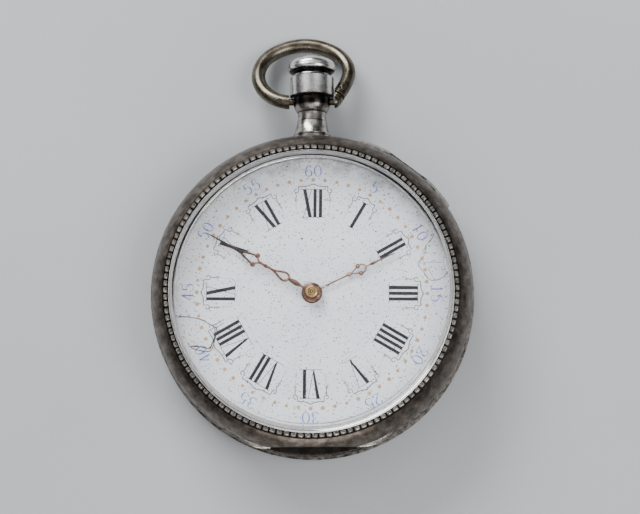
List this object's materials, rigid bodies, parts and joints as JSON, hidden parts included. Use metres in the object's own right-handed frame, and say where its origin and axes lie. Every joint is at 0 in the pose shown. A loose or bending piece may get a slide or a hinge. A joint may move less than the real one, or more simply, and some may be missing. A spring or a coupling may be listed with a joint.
{
  "type": "pocket watch",
  "caption": "Open-face pocket watch: round hinged case, domed crystal over a white enamel dial, Louis-style hands, crown and wire bow on a pendant, full lever movement inside.",
  "frame": {"origin": "centre of the flat land on the back cover, where the watch rests", "axes": "+Z out of the dial, +Y towards the pendant and crown, +X towards 3 o'clock"},
  "size_m": [0.05, 0.0676, 0.0157],
  "materials": {
    "case_silver": "worn silver with grey-brown tarnish",
    "bow_nickel": "satin nickel, yellowish grey",
    "crown_steel": "polished, with brown tarnish",
    "crystal_glass": "clear, domed",
    "dial_enamel": "white glossy enamel with hairline cracks",
    "hand_gilt": "tarnished copper gilt",
    "brass_gilt": "frosted gilt",
    "blued_steel": "tempered blue",
    "steel": "polished steel",
    "ruby": "clear red"
  },
  "bodies": {
    "case": {"case_middle": "case_silver", "hinge_pins": "steel", "pendant_neck": "case_silver", "stem_sleeve": "steel", "lever_studs": "steel", "yoke_spring": "blued_steel", "motion_posts": "steel", "crown_wheel_core": "steel", "click_screw": "steel", "click_spring": "blued_steel", "balance_cock": "brass_gilt", "hairspring_stud": "steel", "regulator_cap": "steel", "barrel_bridge": "brass_gilt", "train_bridge": "brass_gilt", "pallet_bridge": "brass_gilt", "main_plate": "brass_gilt", "bridge_jewels": "ruby", "plate_jewels": "ruby", "bridge_screws": "steel", "cock_screw": "steel", "case_screws": "steel", "dial": "dial_enamel", "dial_feet": "brass_gilt"},
    "bezel_body": {"bezel": "case_silver", "crystal": "crystal_glass"},
    "back_body": {"back_cover": "case_silver"},
    "cuvette_body": {"cuvette": "case_silver"},
    "bow_body": {"bow": "bow_nickel"},
    "winding_body": {"winding_pinion": "steel"},
    "crown_body": {"crown": "crown_steel", "stem": "steel"},
    "clutch_body": {"clutch_wheel": "steel"},
    "lever_body": {"setting_lever": "steel"},
    "yoke_body": {"yoke": "steel"},
    "setting_body": {"setting_wheel": "steel"},
    "crown_wheel_body": {"crown_wheel": "steel"},
    "ratchet_body": {"ratchet_wheel": "steel", "ratchet_screw": "steel", "barrel_arbor": "steel"},
    "click_body": {"click": "steel"},
    "barrel_body": {"barrel_drum": "brass_gilt", "barrel_lid": "brass_gilt", "mainspring": "blued_steel"},
    "centre_body": {"centre_wheel": "brass_gilt", "cannon_pinion": "steel", "minute_hand": "hand_gilt", "hand_cap": "brass_gilt"},
    "third_body": {"third_wheel": "brass_gilt"},
    "fourth_body": {"fourth_wheel": "brass_gilt"},
    "escape_body": {"escape_wheel": "steel"},
    "pallet_body": {"pallet_fork": "steel", "pallet_stones": "ruby"},
    "balance_body": {"balance_wheel": "brass_gilt", "balance_screws": "brass_gilt", "hairspring": "blued_steel"},
    "regulator_body": {"regulator": "steel"},
    "minute_wheel_body": {"minute_wheel": "brass_gilt"},
    "hour_body": {"hour_wheel": "brass_gilt", "hour_hand": "hand_gilt"}
  },
  "joints": [
    {"name": "bezel_hinge", "type": "hinge", "parent": "case", "child": "bezel_body", "pos_m": [0.01473, 0.01933, 0.00875], "axis": [-0.7955, 0.606, 0], "range_deg": [0, 85]},
    {"name": "back_hinge", "type": "hinge", "parent": "case", "child": "back_body", "pos_m": [0.01485, 0.01949, 0.0035], "axis": [0.7955, -0.606, 0], "range_deg": [0, 110]},
    {"name": "cuvette_hinge", "type": "hinge", "parent": "case", "child": "cuvette_body", "pos_m": [0.01485, 0.01949, 0.0035], "axis": [0.7955, -0.606, 0], "range_deg": [0, 88]},
    {"name": "bow_swing", "type": "hinge", "parent": "case", "child": "bow_body", "pos_m": [0, 0.03075, 0.006], "axis": [-1, 0, 0], "range_deg": [-150, 110]},
    {"name": "crown_turn", "type": "hinge", "parent": "case", "child": "winding_body", "pos_m": [0, 0.018, 0.006], "axis": [0, 1, 0], "continuous": true},
    {"name": "crown_pull", "type": "slide", "parent": "winding_body", "child": "crown_body", "axis": [0, 1, 0], "range_m": [0, 0.0012]},
    {"name": "clutch_slide", "type": "slide", "parent": "winding_body", "child": "clutch_body", "axis": [0, 1, 0], "range_m": [-0.001, 0]},
    {"name": "setting_lever_turn", "type": "hinge", "parent": "case", "child": "lever_body", "pos_m": [0.0034, 0.01955, 0.0072], "axis": [0, 0, 1], "range_deg": [-24.5, 0]},
    {"name": "yoke_turn", "type": "hinge", "parent": "case", "child": "yoke_body", "pos_m": [-0.0042, 0.0151, 0.0074], "axis": [0, 0, 1], "range_deg": [-18.8, 0]},
    {"name": "crown_wheel_turn", "type": "hinge", "parent": "case", "child": "crown_wheel_body", "pos_m": [0, 0.0156, 0.0022], "axis": [0, 0, 1], "continuous": true},
    {"name": "ratchet_turn", "type": "hinge", "parent": "case", "child": "ratchet_body", "pos_m": [0.00555, 0.00651, 0.0022], "axis": [0, 0, 1], "continuous": true},
    {"name": "click_lift", "type": "hinge", "parent": "case", "child": "click_body", "pos_m": [0.0121, 0.00192, 0.0022], "axis": [0, 0, 1], "range_deg": [0, 12], "stiffness_Nm_per_rad": 0.0000001, "springref_deg": -2.86},
    {"name": "minute_hand_turn", "type": "hinge", "parent": "case", "child": "centre_body", "pos_m": [0, 0, 0.0086], "axis": [0, 0, 1], "continuous": true},
    {"name": "hour_hand_turn", "type": "hinge", "parent": "case", "child": "hour_body", "pos_m": [0, 0, 0.0086], "axis": [0, 0, 1], "continuous": true},
    {"name": "minute_wheel_turn", "type": "hinge", "parent": "case", "child": "minute_wheel_body", "pos_m": [-0.0019, 0.00441, 0.0072], "axis": [0, 0, 1], "continuous": true},
    {"name": "setting_wheel_turn", "type": "hinge", "parent": "case", "child": "setting_body", "pos_m": [0, 0.0101, 0.0072], "axis": [0, 0, 1], "continuous": true},
    {"name": "barrel_turn", "type": "hinge", "parent": "case", "child": "barrel_body", "pos_m": [0.00555, 0.00651, 0.004], "axis": [0, 0, 1], "continuous": true},
    {"name": "third_wheel_turn", "type": "hinge", "parent": "case", "child": "third_body", "pos_m": [0.0014, -0.00522, 0.0045], "axis": [0, 0, 1], "continuous": true},
    {"name": "fourth_wheel_turn", "type": "hinge", "parent": "case", "child": "fourth_body", "pos_m": [-0.00225, -0.00828, 0.0045], "axis": [0, 0, 1], "continuous": true},
    {"name": "escape_wheel_turn", "type": "hinge", "parent": "case", "child": "escape_body", "pos_m": [-0.00603, -0.00563, 0.005], "axis": [0, 0, 1], "continuous": true},
    {"name": "pallet_swing", "type": "hinge", "parent": "case", "child": "pallet_body", "pos_m": [-0.00701, -0.00274, 0.0052], "axis": [0, 0, 1], "range_deg": [-5, 5]},
    {"name": "balance_swing", "type": "hinge", "parent": "case", "child": "balance_body", "pos_m": [-0.0086, 0.002, 0.0038], "axis": [0, 0, 1], "range_deg": [-135, 135], "stiffness_Nm_per_rad": 0.0000016, "deforming": ["hairspring"]},
    {"name": "regulator_turn", "type": "hinge", "parent": "case", "child": "regulator_body", "pos_m": [-0.0086, 0.002, 0.0022], "axis": [0, 0, 1], "range_deg": [-22, 22]}
  ],
  "couplings": [
    {"joint": "cuvette_hinge", "follows": "back_hinge", "ratio": 0.8},
    {"joint": "clutch_slide", "follows": "crown_pull", "ratio": -0.83333},
    {"joint": "setting_lever_turn", "follows": "crown_pull", "rad_per_m": -352.11},
    {"joint": "yoke_turn", "follows": "crown_pull", "rad_per_m": -270.56},
    {"joint": "crown_wheel_turn", "follows": "crown_turn", "ratio": 0.6},
    {"joint": "ratchet_turn", "follows": "crown_turn", "ratio": -0.36818},
    {"joint": "hour_hand_turn", "follows": "minute_hand_turn", "ratio": 0.083333},
    {"joint": "minute_wheel_turn", "follows": "minute_hand_turn", "ratio": -0.33333},
    {"joint": "setting_wheel_turn", "follows": "minute_hand_turn", "ratio": 0.5},
    {"joint": "barrel_turn", "follows": "minute_hand_turn", "ratio": -0.125},
    {"joint": "third_wheel_turn", "follows": "minute_hand_turn", "ratio": -8},
    {"joint": "fourth_wheel_turn", "follows": "minute_hand_turn", "ratio": 60},
    {"joint": "escape_wheel_turn", "follows": "minute_hand_turn", "ratio": -600}
  ]
}
